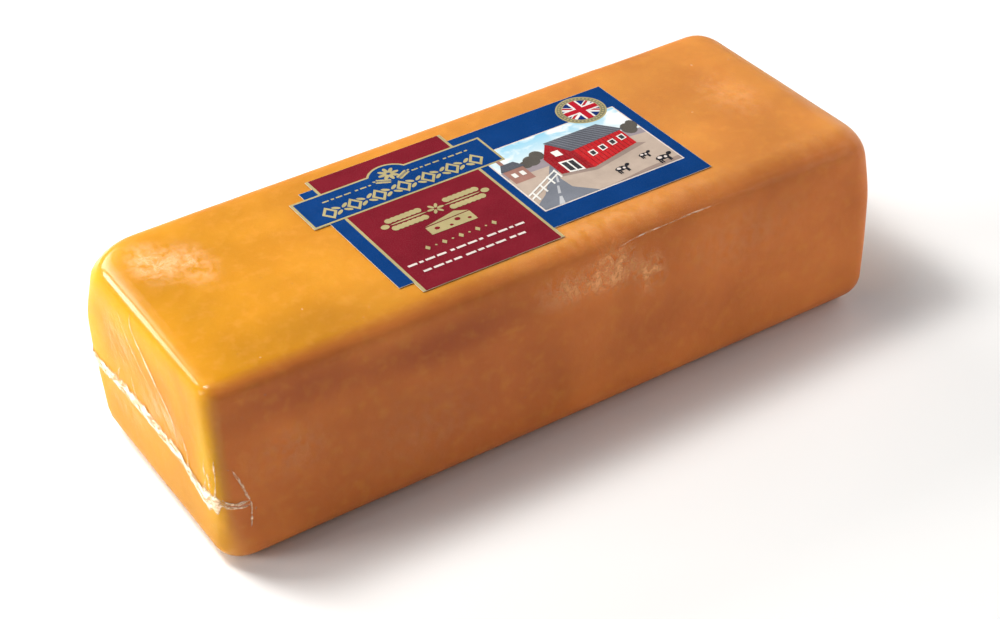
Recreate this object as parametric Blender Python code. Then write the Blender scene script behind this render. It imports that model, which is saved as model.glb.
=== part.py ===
"""A cheddar block: an orange loaf of cheese shrunk into a clear film, with a printed label on top.

Metres, +Z up. The origin is the middle of the underside. +X runs along the block and its long
front side faces -Y. The film is closed by a crinkled weld across each end.
"""

import math

import bmesh
import bpy
from mathutils import Vector

# The loaf, a 2.5 kg counter block
BLOCK_LENGTH = 0.280
BLOCK_WIDTH = 0.108
BLOCK_HEIGHT = 0.079

# Upright edges, seen from above: their rounding half way up, by the side of X and Y, and at each
# corner of the block, by the side of X, Y and Z
UPRIGHT_ROUND = {
    (-1, -1): 0.0048,
    (1, -1): 0.0086,
    (-1, 1): 0.0086,
    (1, 1): 0.0086,
}
CORNER_ROUND = {
    (-1, -1, 1): 0.0070,
    (1, -1, 1): 0.0160,
    (-1, 1, 1): 0.0236,
    (1, 1, 1): 0.0150,
    (-1, -1, -1): 0.0128,
    (1, -1, -1): 0.0112,
    (-1, 1, -1): 0.0138,
    (1, 1, -1): 0.0142,
}

# A corner's rounding fades out down the upright edge, from this share of the half height
CORNER_FADE = 0.15

# Rounding of the edges round the top and the underside, by the side of Z: on the long sides
# (front, back), each at its left and right end, and on the ends (left, right), each at its front
# and back
LONG_EDGE_ROUND = {
    1: ((0.0060, 0.0108), (0.0134, 0.0134)),
    -1: ((0.0127, 0.0136), (0.0122, 0.0122)),
}
END_EDGE_ROUND = {
    1: ((0.0045, 0.0092), (0.0160, 0.0148)),
    -1: ((0.0100, 0.0112), (0.0095, 0.0112)),
}

# Distances from an edge of the lines that its rounding bends along
BEND_LINES = (0.0015, 0.0032, 0.0054, 0.0080, 0.0114, 0.0165, 0.0236)
FLAT_CELL = 0.024

# The weld of the film: a thin wavy ridge across each end. On the left it runs round onto the long
# sides, and on the right it stops short of them. Its shaping lines are in half widths from its
# crest.
SEAM_LEVEL = 0.0338
SEAM_HALF_WIDTH = 0.0018
SEAM_RISE = 0.0010
SEAM_WAVE = 0.0019
SEAM_WAVE_LENGTH = 0.072
SEAM_CREST_Y = 0.002
SEAM_LINES = (-2.0, -1.0, -0.5, 0.0, 0.5, 1.0, 2.0)
SEAM_PULL = 0.010
SEAM_WRAP = 0.011
SEAM_STOP = 0.012
SEAM_FADE = 0.003

# Below the weld the film is pulled in on the left, and the end with it
TUCK = 0.0005
TUCK_RUN = 0.003
TUCK_REACH = 0.020

# The label: a blue field, a panel laid across its left half and a plaque across the panel
LABEL_THICKNESS = 0.0004
LABEL_GAP = 0.0003
FIELD_LEFT = -0.0593
FIELD_RIGHT = 0.0717
FIELD_FRONT = -0.0393
FIELD_BACK = 0.0323
PANEL_LEFT = -0.0537
PANEL_RIGHT = 0.0033
PANEL_FRONT = -0.0458
PANEL_BACK = 0.0378
PLAQUE_LEFT = -0.0655
PLAQUE_RIGHT = 0.0140
PLAQUE_FRONT = 0.0085
PLAQUE_BACK = 0.0278

# Finishes: linear colours and roughness, and the angle in degrees past which an edge is sharp
CHEESE_COLOUR = (0.745, 0.275, 0.045)
CHEESE_ROUGHNESS = 0.28
LABEL_COLOUR = (0.002, 0.047, 0.212)
LABEL_ROUGHNESS = 0.4
SHARP_ANGLE = 50

HALF = Vector((BLOCK_LENGTH / 2, BLOCK_WIDTH / 2, BLOCK_HEIGHT / 2))


def clear_scene():
    """Remove whatever objects the file holds."""
    for old in list(bpy.data.objects):
        bpy.data.objects.remove(old, do_unlink=True)


def plain_material(name, colour, roughness):
    """A material of one colour."""
    material = bpy.data.materials.new(name)
    material.use_nodes = True
    shader = material.node_tree.nodes["Principled BSDF"]
    shader.inputs["Base Color"].default_value = (*colour, 1.0)
    shader.inputs["Roughness"].default_value = roughness
    shader.inputs["Metallic"].default_value = 0.0
    return material


def finish_object(name, bm, material):
    """Turn the mesh into a named object, shaded smooth but for its sharp edges."""
    mesh = bpy.data.meshes.new(name)
    bm.to_mesh(mesh)
    bm.free()
    mesh.materials.append(material)
    mesh.shade_smooth()
    mesh.set_sharp_from_angle(angle=math.radians(SHARP_ANGLE))
    thing = bpy.data.objects.new(name, mesh)
    bpy.context.scene.collection.objects.link(thing)
    return thing


def ease(t):
    """Rise smoothly from 0 to 1 as t goes from 0 to 1."""
    t = min(max(t, 0.0), 1.0)
    return t * t * (3 - 2 * t)


def cut_across(bm, axis, level):
    """Cut the whole mesh along the plane at this level of an axis."""
    point = Vector((0, 0, 0))
    point[axis] = level
    normal = Vector((0, 0, 0))
    normal[axis] = 1
    everything = bm.verts[:] + bm.edges[:] + bm.faces[:]
    bmesh.ops.bisect_plane(bm, geom=everything, plane_co=point, plane_no=normal)


def even_levels(low, high, longest):
    """Levels that split a run into even cells, without its two ends."""
    cells = math.ceil((high - low) / longest)
    return [low + (high - low) * step / cells for step in range(1, cells)]


def block_levels(axis):
    """The levels of one axis that the box is cut at, measured from the box's middle."""
    half = HALF[axis]
    levels = [side * (half - line) for side in (-1, 1) for line in BEND_LINES]
    inner = half - BEND_LINES[-1]
    if axis < 2:
        return levels + even_levels(-inner, inner, FLAT_CELL)
    seam = SEAM_LEVEL - half
    seam_levels = [seam + line * SEAM_HALF_WIDTH for line in SEAM_LINES]
    return levels + seam_levels + [(seam_levels[-1] + inner) / 2]


def seam_shift(y):
    """How far the wavy weld lies above its mean level at this y."""
    return SEAM_WAVE * math.cos(2 * math.pi * (y - SEAM_CREST_Y) / SEAM_WAVE_LENGTH)


def upright_round(point, side):
    """The upright edge's rounding, seen from above, at the height of this point."""
    share = abs(point.z) / HALF.z
    fade = ease((share - CORNER_FADE) / (1 - CORNER_FADE))
    half_way_up = UPRIGHT_ROUND[side[:2]]
    return half_way_up + (CORNER_ROUND[side] - half_way_up) * fade


def between(ends, share):
    """A value that changes evenly along an edge, where the share goes from -1 to 1."""
    return ends[0] + (ends[1] - ends[0]) * (share + 1) / 2


def rim_round(point, normal, side):
    """The rounding round the top or the underside, where the side wall faces this way."""
    long_edge = LONG_EDGE_ROUND[side[2]][0 if side[1] < 0 else 1]
    end_edge = END_EDGE_ROUND[side[2]][0 if side[0] < 0 else 1]
    along = between(long_edge, point.x / HALF.x)
    across = between(end_edge, point.y / HALF.y)
    return along + (across - along) * normal.x**2


def rounded(point):
    """The place on the rounded block for a point of the sharp box, and the outward direction.

    The upright edges are rounded first, seen from above, and then the rims of the top and the
    underside, on the section square to the wall.
    """
    side = tuple(1 if value > 0 else -1 for value in point)
    size = Vector(abs(value) for value in point)
    radius = upright_round(point, side)
    past = Vector((size.x - HALF.x + radius, size.y - HALF.y + radius, 0))
    reach = max(past.x, past.y)
    if min(past.x, past.y) > 0:
        normal = past.normalized()
        plan = Vector((HALF.x - radius, HALF.y - radius, 0)) + normal * reach
    else:
        normal = Vector((1, 0, 0)) if past.x > past.y else Vector((0, 1, 0))
        plan = Vector((size.x, size.y, 0))
    inward = radius - reach
    below_rim = HALF.z - size.z
    rim = rim_round(point, normal, side)
    bend = Vector((max(rim - inward, 0), max(rim - below_rim, 0)))
    outward = Vector((bend.x * normal.x, bend.x * normal.y, bend.y)).normalized()
    if min(bend) > 0:
        bent = bend.normalized() * max(bend)
        plan += normal * (inward - rim + bent.x)
        size.z = HALF.z - rim + bent.y
    place = Vector((plan.x * side[0], plan.y * side[1], size.z * side[2]))
    return place, Vector(value * sign for value, sign in zip(outward, side))


def seam_rise(place, seam):
    """Height of the weld's ridge: round in section, and fading out at its two ends."""
    across = min(abs(place.z - seam) / SEAM_HALF_WIDTH, 1.0)
    profile = 0.5 + 0.5 * math.cos(math.pi * across)
    past_corner = HALF.x - abs(place.x) - SEAM_WRAP
    if place.x > 0:
        past_corner = max(abs(place.y) - HALF.y + SEAM_STOP, past_corner)
    return SEAM_RISE * profile * (1 - ease(past_corner / SEAM_FADE))


def tuck(place, seam):
    """How far the left end is pulled in below the weld."""
    below = ease((seam - place.z) / TUCK_RUN)
    near_end = ease((-place.x - HALF.x + TUCK_REACH) / TUCK_REACH)
    return TUCK * below * near_end


def make_block(material):
    """The cheese in its film: a box with rounded edges, with a weld's ridge across each end."""
    bm = bmesh.new()
    bmesh.ops.create_cube(bm, size=1.0)
    bmesh.ops.scale(bm, vec=HALF * 2, verts=bm.verts)
    for axis in range(3):
        for level in block_levels(axis):
            cut_across(bm, axis, level)
    seam_middle = SEAM_LEVEL - HALF.z
    for vert in bm.verts:
        pull = math.exp(-(((vert.co.z - seam_middle) / SEAM_PULL) ** 2))
        shift = seam_shift(vert.co.y)
        sharp = vert.co + Vector((0, 0, shift * pull))
        place, outward = rounded(sharp)
        seam = seam_middle + shift
        pulled_in = tuck(place, seam)
        place += outward * seam_rise(place, seam)
        vert.co = place + Vector((pulled_in, 0, HALF.z))
    return finish_object("sealed_cheese", bm, material)


def label_outline():
    """Corners of the label, counter-clockwise from above, starting at the panel's front left."""
    return [
        (PANEL_LEFT, PANEL_FRONT),
        (PANEL_RIGHT, PANEL_FRONT),
        (PANEL_RIGHT, FIELD_FRONT),
        (FIELD_RIGHT, FIELD_FRONT),
        (FIELD_RIGHT, FIELD_BACK),
        (PANEL_RIGHT, FIELD_BACK),
        (PANEL_RIGHT, PANEL_BACK),
        (PANEL_LEFT, PANEL_BACK),
        (PANEL_LEFT, FIELD_BACK),
        (FIELD_LEFT, FIELD_BACK),
        (FIELD_LEFT, PLAQUE_BACK),
        (PLAQUE_LEFT, PLAQUE_BACK),
        (PLAQUE_LEFT, PLAQUE_FRONT),
        (FIELD_LEFT, PLAQUE_FRONT),
        (FIELD_LEFT, FIELD_FRONT),
        (PANEL_LEFT, FIELD_FRONT),
    ]


def make_label(material):
    """The label: one thin flat sheet."""
    bm = bmesh.new()
    corners = [bm.verts.new((x, y, BLOCK_HEIGHT + LABEL_GAP)) for x, y in label_outline()]
    bm.faces.new(corners)
    sheet = bmesh.ops.extrude_face_region(bm, geom=bm.faces[:])
    raised = [item for item in sheet["geom"] if isinstance(item, bmesh.types.BMVert)]
    bmesh.ops.translate(bm, vec=(0, 0, LABEL_THICKNESS), verts=raised)
    bmesh.ops.recalc_face_normals(bm, faces=bm.faces)
    return finish_object("label", bm, material)


clear_scene()
make_block(plain_material("film_over_cheese", CHEESE_COLOUR, CHEESE_ROUGHNESS))
make_label(plain_material("printed_label", LABEL_COLOUR, LABEL_ROUGHNESS))
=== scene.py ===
"""Looks of a cheddar block: an orange loaf in a tight clear film, with a printed label on top."""

import math

import bmesh
import bpy
from mathutils import Matrix, Vector, noise


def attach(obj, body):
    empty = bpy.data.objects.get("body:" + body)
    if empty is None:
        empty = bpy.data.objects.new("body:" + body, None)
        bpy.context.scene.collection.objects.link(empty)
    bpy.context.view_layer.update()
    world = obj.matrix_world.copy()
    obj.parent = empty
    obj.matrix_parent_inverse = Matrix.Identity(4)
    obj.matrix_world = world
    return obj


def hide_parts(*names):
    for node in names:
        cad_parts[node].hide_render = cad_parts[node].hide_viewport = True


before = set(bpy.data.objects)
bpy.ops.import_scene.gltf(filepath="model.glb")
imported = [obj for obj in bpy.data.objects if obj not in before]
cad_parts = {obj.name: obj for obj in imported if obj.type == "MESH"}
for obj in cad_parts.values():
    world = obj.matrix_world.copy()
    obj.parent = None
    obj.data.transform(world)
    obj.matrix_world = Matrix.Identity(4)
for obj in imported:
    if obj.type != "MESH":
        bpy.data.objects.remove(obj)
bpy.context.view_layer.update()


# The cheese: one loaf of orange cheddar, pressed in a mould and cut to length. Its edges and
# corners are soft, as the film that shrank onto it pressed them round.
BLOCK_LENGTH = 0.28
BLOCK_WIDTH = 0.108
BLOCK_HEIGHT = 0.079
HALF = Vector((BLOCK_LENGTH / 2, BLOCK_WIDTH / 2, BLOCK_HEIGHT / 2))

# Rounding of the upright edges half way up, and at each corner, by the side of X, Y and Z
UPRIGHT_ROUND = {
    (-1, -1): 0.0048,
    (1, -1): 0.0086,
    (-1, 1): 0.0086,
    (1, 1): 0.0086,
}
CORNER_ROUND = {
    (-1, -1, 1): 0.007,
    (1, -1, 1): 0.016,
    (-1, 1, 1): 0.0236,
    (1, 1, 1): 0.015,
    (-1, -1, -1): 0.0128,
    (1, -1, -1): 0.0112,
    (-1, 1, -1): 0.0138,
    (1, 1, -1): 0.0142,
}
CORNER_FADE = 0.15

# Rounding of the rims by the side of Z: on the long sides (front, back), each at its left and
# right end, and on the ends (left, right), each at its front and back
LONG_EDGE_ROUND = {
    1: ((0.006, 0.0108), (0.0134, 0.0134)),
    -1: ((0.0127, 0.0136), (0.0122, 0.0122)),
}
END_EDGE_ROUND = {
    1: ((0.0045, 0.0092), (0.016, 0.0148)),
    -1: ((0.01, 0.0112), (0.0095, 0.0112)),
}

# Below the level of the film's weld the left end is pulled in a little
TUCK_LEVEL = 0.0338
TUCK = 0.0005
TUCK_RUN = 0.003
TUCK_REACH = 0.02

FILM_GAP = 0.00025
LUMP_DEPTH = 0.0003
LUMP_SIZE = 0.028

# The lumps fade out towards the label and the underside
LABEL_KEEP_OUT = Vector((0.076, 0.05))
LABEL_MIDDLE = Vector((0.003, -0.004))
LABEL_DEPTH = 0.004
LABEL_FADE = 0.008
UNDERSIDE_FADE = 0.012


def ease(t):
    """Rise smoothly from 0 to 1 as t goes from 0 to 1."""
    t = min(max(t, 0.0), 1.0)
    return t * t * (3 - 2 * t)


def upright_round(point, side):
    """The upright edge's rounding, seen from above, at the height of this point."""
    share = abs(point.z) / HALF.z
    fade = ease((share - CORNER_FADE) / (1 - CORNER_FADE))
    half_way_up = UPRIGHT_ROUND[side[:2]]
    return half_way_up + (CORNER_ROUND[side] - half_way_up) * fade


def between(ends, share):
    """A value that changes evenly along an edge, where the share goes from -1 to 1."""
    return ends[0] + (ends[1] - ends[0]) * (share + 1) / 2


def rim_round(point, normal, side):
    """The rounding round the top or the underside, where the side wall faces this way."""
    long_edge = LONG_EDGE_ROUND[side[2]][0 if side[1] < 0 else 1]
    end_edge = END_EDGE_ROUND[side[2]][0 if side[0] < 0 else 1]
    along = between(long_edge, point.x / HALF.x)
    across = between(end_edge, point.y / HALF.y)
    return along + (across - along) * normal.x**2


def rounded(point):
    """The place on the rounded block for a point of the sharp box, and the outward direction."""
    side = tuple(1 if value > 0 else -1 for value in point)
    size = Vector(abs(value) for value in point)
    radius = upright_round(point, side)
    past = Vector((size.x - HALF.x + radius, size.y - HALF.y + radius, 0))
    reach = max(past.x, past.y)
    if min(past.x, past.y) > 0:
        normal = past.normalized()
        plan = Vector((HALF.x - radius, HALF.y - radius, 0)) + normal * reach
    else:
        normal = Vector((1, 0, 0)) if past.x > past.y else Vector((0, 1, 0))
        plan = Vector((size.x, size.y, 0))
    inward = radius - reach
    rim = rim_round(point, normal, side)
    bend = Vector((max(rim - inward, 0), max(rim - HALF.z + size.z, 0)))
    outward = Vector((bend.x * normal.x, bend.x * normal.y, bend.y)).normalized()
    if min(bend) > 0:
        bent = bend.normalized() * max(bend)
        plan += normal * (inward - rim + bent.x)
        size.z = HALF.z - rim + bent.y
    place = Vector((plan.x * side[0], plan.y * side[1], size.z * side[2]))
    return place, Vector(value * sign for value, sign in zip(outward, side))


def lumps(place):
    """How far the hand-packed surface dips here: not under the label, and not at the underside."""
    wave = 0.5 + 0.5 * noise.noise(place / LUMP_SIZE)
    from_label = max(
        abs(place.x - LABEL_MIDDLE.x) - LABEL_KEEP_OUT.x,
        abs(place.y - LABEL_MIDDLE.y) - LABEL_KEEP_OUT.y,
        (HALF.z - place.z) - LABEL_DEPTH,
    )
    above_underside = ease((place.z + HALF.z) / UNDERSIDE_FADE)
    return LUMP_DEPTH * wave * above_underside * ease(from_label / LABEL_FADE)


def block_point(sharp, lift):
    """The place for a point of the sharp box, with the box's middle at its half height."""
    place, outward = rounded(sharp)
    below = ease((TUCK_LEVEL - HALF.z - place.z) / TUCK_RUN)
    near_end = ease((-place.x - HALF.x + TUCK_REACH) / TUCK_REACH)
    place += outward * (lift - lumps(place))
    return place + Vector((TUCK * below * near_end, 0, HALF.z))


def graded(t, ends_share):
    """A level from -1 to 1 with its steps closer together near both ends."""
    size = abs(t)
    eased = ends_share * size + (1 - ends_share) * (1 - (1 - size) ** 2)
    return math.copysign(eased, t)


def cells_along(bm, axis, cells):
    """Split every edge that runs along this axis into even cells."""
    runs = [e for e in bm.edges if abs((e.verts[0].co - e.verts[1].co)[axis]) > 0.5]
    bmesh.ops.subdivide_edges(bm, edges=runs, cuts=cells - 1, use_grid_fill=True)


def block_mesh(cells, ends_share):
    """A box of two units a side, split into cells, with its long axis graded to the ends."""
    bm = bmesh.new()
    bmesh.ops.create_cube(bm, size=2.0)
    for axis in range(3):
        cells_along(bm, axis, cells[axis])
    for vert in bm.verts:
        vert.co.x = graded(vert.co.x, ends_share)
        vert.co = Vector(a * b for a, b in zip(vert.co, HALF))
    return bm


def new_object(name, data):
    """An object of the scene with this data."""
    made = bpy.data.objects.new(name, data)
    bpy.context.scene.collection.objects.link(made)
    return made


def new_piece(name, bm, material, replaced):
    """Make a piece of this mesh, which rides on the root and stands for a node of the frame."""
    mesh = bpy.data.meshes.new(name)
    bm.to_mesh(mesh)
    bm.free()
    mesh.materials.append(material)
    mesh.shade_smooth()
    piece = new_object(name, mesh)
    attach(piece, "root")
    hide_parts(replaced)
    return piece


def new_material(name):
    """A material with its node tree, its links and its shader."""
    material = bpy.data.materials.new(name)
    material.use_nodes = True
    tree = material.node_tree
    return material, tree, tree.nodes["Principled BSDF"]


def fill(node, values):
    """Give a node's inputs these values, by name."""
    for name, value in values.items():
        node.inputs[name].default_value = value


def noise_at(tree, coords, scale, detail, roughness, distortion=0.0):
    """A noise texture on these coordinates."""
    node = tree.nodes.new("ShaderNodeTexNoise")
    fill(node, {"Scale": scale, "Detail": detail, "Roughness": roughness, "Distortion": distortion})
    tree.links.new(coords, node.inputs["Vector"])
    return node.outputs["Fac"]


def spread(tree, value, low, high, to_low, to_high):
    """Map a value from one range to another, held to its ends."""
    node = tree.nodes.new("ShaderNodeMapRange")
    fill(node, {"From Min": low, "From Max": high, "To Min": to_low, "To Max": to_high})
    tree.links.new(value, node.inputs["Value"])
    return node.outputs["Result"]


def blend_colours(tree, factor, first, second):
    """Mix two colours, each of them a tuple or a socket, by a factor."""
    node = tree.nodes.new("ShaderNodeMix")
    node.data_type = "RGBA"
    tree.links.new(factor, node.inputs[0])
    for source, socket in ((first, node.inputs[6]), (second, node.inputs[7])):
        if isinstance(source, tuple):
            socket.default_value = (*source, 1.0)
        else:
            tree.links.new(source, socket)
    return node.outputs[2]


def painted(tree, name, output="Fac"):
    """A value that the piece's vertices hold under this name."""
    attribute = tree.nodes.new("ShaderNodeAttribute")
    attribute.attribute_name = name
    return attribute.outputs[output]


def combine(tree, operation, first, second):
    """A maths node on two values, each of them a number or a socket."""
    node = tree.nodes.new("ShaderNodeMath")
    node.operation = operation
    for source, socket in zip((first, second), node.inputs):
        if isinstance(source, float):
            socket.default_value = source
        else:
            tree.links.new(source, socket)
    return node.outputs["Value"]


def bump(tree, height, distance, strength, onto):
    """Drive a shader's normal by this height."""
    node = tree.nodes.new("ShaderNodeBump")
    fill(node, {"Distance": distance, "Strength": strength})
    tree.links.new(height, node.inputs["Height"])
    tree.links.new(node.outputs["Normal"], onto.inputs["Normal"])


PATCH_SPREAD = 1.25


def patch_at(place, patches):
    """How strongly soft patches cover this place, each with its middle, half sizes and strength."""
    total = 0.0
    for middle, size, strength in patches:
        away = Vector((a - b) / c for a, b, c in zip(place, middle, size)).length
        total += strength * (1 - ease(away / PATCH_SPREAD))
    return min(total, 1.0)


# Colours of the paste, each with a deeper one to marble it. The colour of each face carries
# painted light and shade: yellower for light on the top's left and on the left end, redder for shade on
# the long sides
LIT_LEFT_ORANGE = (0.58, 0.246, 0.007)
LIT_LEFT_DEEP = (0.52, 0.214, 0.005)
RIGHT_ORANGE = (0.61, 0.237, 0.05)
RIGHT_DEEP = (0.55, 0.2, 0.044)
# Painted shade: the long sides are redder, as the front is in shade
SHADE_TINTED_SIDE_ORANGE = (0.67, 0.201, 0.048)
SHADE_TINTED_SIDE_DEEP = (0.585, 0.166, 0.04)
# Painted light: the left end is yellower, as it faces the strongest light
LIT_END_ORANGE = (0.57, 0.25, 0.01)
LIT_END_DEEP = (0.51, 0.206, 0.008)
CHEESE_PALE = (0.72, 0.31, 0.06)
# Painted highlight colour where the light is strongest, and painted shade for the front
PAINTED_GLOW_YELLOW = (0.56, 0.33, 0.006)
PAINTED_SHADE_DUSKY = (0.43, 0.108, 0.034)

# Places of painted light and shade: painted highlight colour on the lit left end and its edges,
# painted shade on the front, and darker painted shade: each has its middle, half sizes and strength
PAINTED_GLOW_PLACES = (
    ((-0.134, 0.042, 0.074), (0.012, 0.016, 0.014), 1.0),
    ((-0.139, 0.012, 0.071), (0.006, 0.04, 0.012), 0.55),
    ((-0.14, -0.047, 0.046), (0.006, 0.01, 0.04), 0.75),
    ((-0.14, 0.046, 0.05), (0.02, 0.018, 0.034), 0.85),
    ((-0.14, 0.01, 0.066), (0.01, 0.03, 0.012), 0.4),
)
# Painted shade on the front
PAINTED_SHADE_PLACES = (
    ((-0.106, -0.054, 0.066), (0.034, 0.008, 0.011), 0.85),
    ((-0.05, -0.054, 0.062), (0.046, 0.008, 0.01), 0.95),
    ((-0.045, -0.054, 0.034), (0.055, 0.008, 0.034), 0.6),
    ((0.04, -0.054, 0.03), (0.045, 0.008, 0.022), 0.45),
)
# Darker painted shade on the top's front left and low on the left end
PAINTED_DARK_PLACES = (
    ((-0.12, -0.006, 0.079), (0.014, 0.034, 0.01), 0.6),
    ((-0.096, -0.04, 0.079), (0.044, 0.015, 0.01), 0.9),
    ((-0.14, -0.005, 0.01), (0.01, 0.06, 0.018), 0.6),
)


# How many clouds, curds and so on there are in a metre of cheese
BROAD_PER_METRE = 14.0
CLOUDS_PER_METRE = 26.0
WAVES_PER_METRE = 48.0
CURDS_PER_METRE = 190.0
SPECKS_PER_METRE = 900.0

RIND_RELIEF = 0.0006
WAVE_RELIEF = 3.0
SPECK_RELIEF = 0.15
CURD_PALENESS = 0.28
# How far the darker painted shade dims the paste
PAINTED_DARK_TONE = 0.78
PASTE_GLOW = 0.12
PASTE_GLOW_DEPTH = 0.006
COAT_LEAST = 0.08
COAT_FRONT = 0.2
COAT_BACK = 0.7
COAT_ROUGHNESS = 0.12


def cheese_material():
    """Dense orange paste with faint marbling, seen through the film's gloss, and painted light and shade.
    """
    material, tree, shader = new_material("orange_cheddar")
    coords = tree.nodes.new("ShaderNodeTexCoord").outputs["Object"]
    cloud = noise_at(tree, coords, CLOUDS_PER_METRE, 4.0, 0.55, 0.4)
    grain = noise_at(tree, coords, CURDS_PER_METRE, 5.0, 0.62)
    speck = noise_at(tree, coords, SPECKS_PER_METRE, 2.0, 0.5)
    clouded = spread(tree, cloud, 0.4, 0.62, 0.0, 1.0)
    split = tree.nodes.new("ShaderNodeSeparateXYZ")
    tree.links.new(coords, split.inputs["Vector"])
    # Painted light: the top is yellower towards its lit left end
    rightward = spread(tree, split.outputs["X"], -0.13, 0.06, 0.0, 1.0)
    lit_left_colour = blend_colours(tree, clouded, LIT_LEFT_DEEP, LIT_LEFT_ORANGE)
    right_colour = blend_colours(tree, clouded, RIGHT_DEEP, RIGHT_ORANGE)
    top_colour = blend_colours(tree, rightward, lit_left_colour, right_colour)
    # Painted shade and light: redder on the long sides, yellower on the lit left end
    shade_tinted_side_colour = blend_colours(tree, clouded, SHADE_TINTED_SIDE_DEEP, SHADE_TINTED_SIDE_ORANGE)
    lit_end_colour = blend_colours(tree, clouded, LIT_END_DEEP, LIT_END_ORANGE)
    marbled_and_light_painted = blend_colours(tree, painted(tree, "side"), top_colour, shade_tinted_side_colour)
    on_end = painted(tree, "left_end")
    marbled_and_light_painted = blend_colours(tree, on_end, marbled_and_light_painted, lit_end_colour)
    # Painted highlight colour on the lit left end, and painted shade on the front
    marbled_and_light_painted = blend_colours(tree, painted(tree, "painted_glow"), marbled_and_light_painted, PAINTED_GLOW_YELLOW)
    marbled_and_light_painted = blend_colours(tree, painted(tree, "painted_shade"), marbled_and_light_painted, PAINTED_SHADE_DUSKY)
    pale = combine(tree, "MULTIPLY", spread(tree, grain, 0.5, 0.72, 0.0, 1.0), CURD_PALENESS)
    mottled_and_light_painted = blend_colours(tree, pale, marbled_and_light_painted, CHEESE_PALE)
    uneven_and_painted_shade = tree.nodes.new("ShaderNodeHueSaturation")
    tree.links.new(mottled_and_light_painted, uneven_and_painted_shade.inputs["Color"])
    broad = noise_at(tree, coords, BROAD_PER_METRE, 3.0, 0.5, 0.6)
    # Darker painted shade dims the colour in its places
    painted_darkening = spread(tree, painted(tree, "painted_dark"), 0.0, 1.0, 1.0, PAINTED_DARK_TONE)
    value = combine(tree, "MULTIPLY", spread(tree, broad, 0.35, 0.65, 0.91, 1.07), painted_darkening)
    tree.links.new(value, uneven_and_painted_shade.inputs["Value"])
    tree.links.new(uneven_and_painted_shade.outputs["Color"], shader.inputs["Base Color"])
    rough = spread(tree, grain, 0.3, 0.7, 0.42, 0.55)
    tree.links.new(rough, shader.inputs["Roughness"])
    fill(shader, {
        "Specular IOR Level": 0.06,
        "Subsurface Weight": PASTE_GLOW,
        "Subsurface Radius": (1.0, 0.35, 0.08),
        "Subsurface Scale": PASTE_GLOW_DEPTH,
        "Coat Roughness": COAT_ROUGHNESS,
    })
    turning = combine(tree, "MULTIPLY", on_end, combine(tree, "SUBTRACT", 1.0, on_end))
    backward = spread(tree, split.outputs["Y"], -0.05, 0.03, COAT_FRONT, COAT_BACK)
    gloss = combine(tree, "MULTIPLY", spread(tree, turning, 0.05, 0.22, 0.0, 1.0), backward)
    tree.links.new(combine(tree, "ADD", gloss, COAT_LEAST), shader.inputs["Coat Weight"])
    wave = combine(tree, "MULTIPLY", noise_at(tree, coords, WAVES_PER_METRE, 2.0, 0.5), WAVE_RELIEF)
    rough_specks = combine(tree, "MULTIPLY", speck, SPECK_RELIEF)
    relief = combine(tree, "ADD", combine(tree, "ADD", grain, wave), rough_specks)
    bump(tree, relief, RIND_RELIEF, 0.25, shader)
    return material


CHEESE_CELLS = (60, 36, 30)
CHEESE_GRADING = 0.6
# Layers: which way each point faces, and masks of painted highlight colour, painted shade and darker
# painted shade
CHEESE_LAYERS = ("side", "left_end", "painted_glow", "painted_shade", "painted_dark")

cheese_bm = block_mesh(CHEESE_CELLS, CHEESE_GRADING)
side, left_end, *painted_light_layers = [cheese_bm.verts.layers.float.new(name) for name in CHEESE_LAYERS]
for vert in cheese_bm.verts:
    outward = rounded(vert.co)[1]
    vert.co = block_point(vert.co, -FILM_GAP)
    vert[side] = ease(abs(outward.y))
    vert[left_end] = ease(-outward.x)
    for layer, places in zip(painted_light_layers, (PAINTED_GLOW_PLACES, PAINTED_SHADE_PLACES, PAINTED_DARK_PLACES)):
        vert[layer] = patch_at(vert.co, places)
new_piece("cheese", cheese_bm, cheese_material(), "sealed_cheese")


# The film: a clear bag shrunk onto the cheese, so tight that it shows only where it is creased
# or where a little air and moisture under it leave a pale bloom.
FILM_CELLS = (110, 64, 52)
FILM_GRADING = 0.5
STREAKS_PER_METRE = 260.0
STREAK_TURN = math.radians(-44)
STREAK_STRETCH = 3.0
STREAK_RELIEF = 0.00012
FLECKS_PER_METRE = 420.0
FLECK_COVER = 0.35
BLOOM_COVER = 0.74
CLEAR_COVER = 0.004
FILM_MILK = (1.0, 0.64, 0.38)
# A warmer copy of the bloom colour for the long sides, painted to suit their shade
FILM_MILK_SHADE_TINTED_SIDE = (1.0, 0.5, 0.2)

# Each pale bloom: its middle, half sizes and strength
BLOOMS = (
    ((0.018, -0.054, 0.064), (0.012, 0.012, 0.011), 1.4),
    ((0.034, -0.054, 0.056), (0.008, 0.012, 0.01), 1.2),
    ((0.001, -0.054, 0.063), (0.017, 0.012, 0.009), 0.8),
    ((0.075, -0.054, 0.056), (0.034, 0.012, 0.016), 0.25),
    ((-0.112, -0.054, 0.044), (0.018, 0.012, 0.014), 0.3),
    ((-0.06, -0.054, 0.03), (0.03, 0.012, 0.02), 0.18),
    ((-0.1215, 0.024, 0.079), (0.009, 0.016, 0.012), 0.75),
    ((-0.11, 0.016, 0.079), (0.009, 0.017, 0.012), 0.6),
    ((0.109, -0.002, 0.079), (0.014, 0.022, 0.012), 0.18),
    ((0.02, -0.047, 0.077), (0.07, 0.01, 0.006), 0.25),
    ((0.112, -0.047, 0.075), (0.024, 0.01, 0.007), 0.15),
    ((-0.14, 0.016, 0.058), (0.012, 0.016, 0.014), 0.35),
    ((-0.14, -0.014, 0.045), (0.012, 0.018, 0.012), 0.5),
    ((-0.14, 0.02, 0.026), (0.012, 0.02, 0.008), 0.2),
)


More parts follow.
